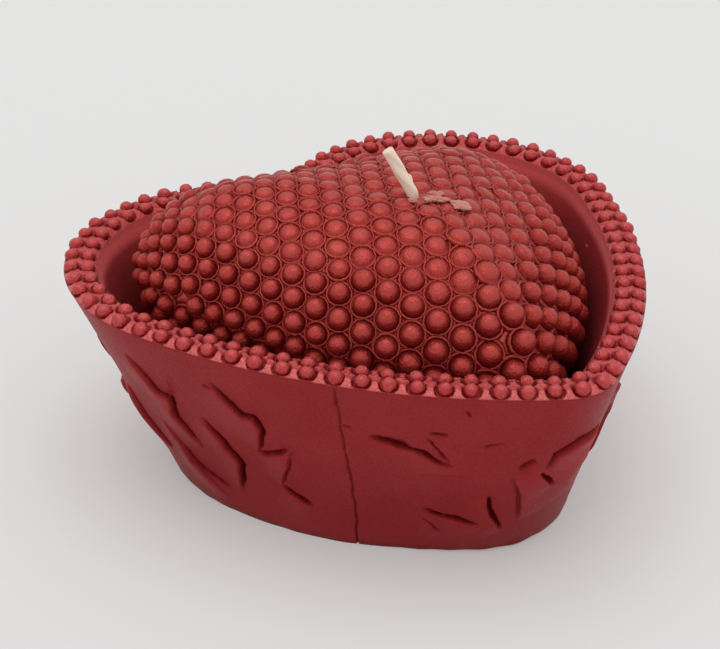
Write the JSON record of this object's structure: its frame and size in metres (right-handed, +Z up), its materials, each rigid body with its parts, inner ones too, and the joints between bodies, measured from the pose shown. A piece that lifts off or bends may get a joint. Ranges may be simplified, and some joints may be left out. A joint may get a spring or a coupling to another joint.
{
  "type": "beaded heart candle in dish",
  "caption": "Heart-shaped wax dish with flared walls and rows of beads round its rim, holding a beaded, domed heart candle that lifts out.",
  "frame": {"origin": "middle of the dish's underside, under the middle of the rim's box", "axes": "+Z up, X across the two lobes of the heart, tip of the heart towards -Y"},
  "size_m": [0.1155, 0.1046, 0.0634],
  "materials": {
    "dish_wax": "satin, pearlescent dark red wax",
    "candle_wax": "satin, pearlescent brick-red wax",
    "wick_cotton": "waxed braided cotton",
    "tinplate": "thin pressed tinplate"
  },
  "bodies": {
    "dish": {"dish": "dish_wax"},
    "candle": {"candle": "candle_wax", "wick": "wick_cotton", "wick_holder": "tinplate"}
  },
  "joints": [
    {"name": "candle_lift", "type": "slide", "parent": "dish", "child": "candle", "axis": [0, 0, 1], "range_m": [0, 0.06]}
  ]
}
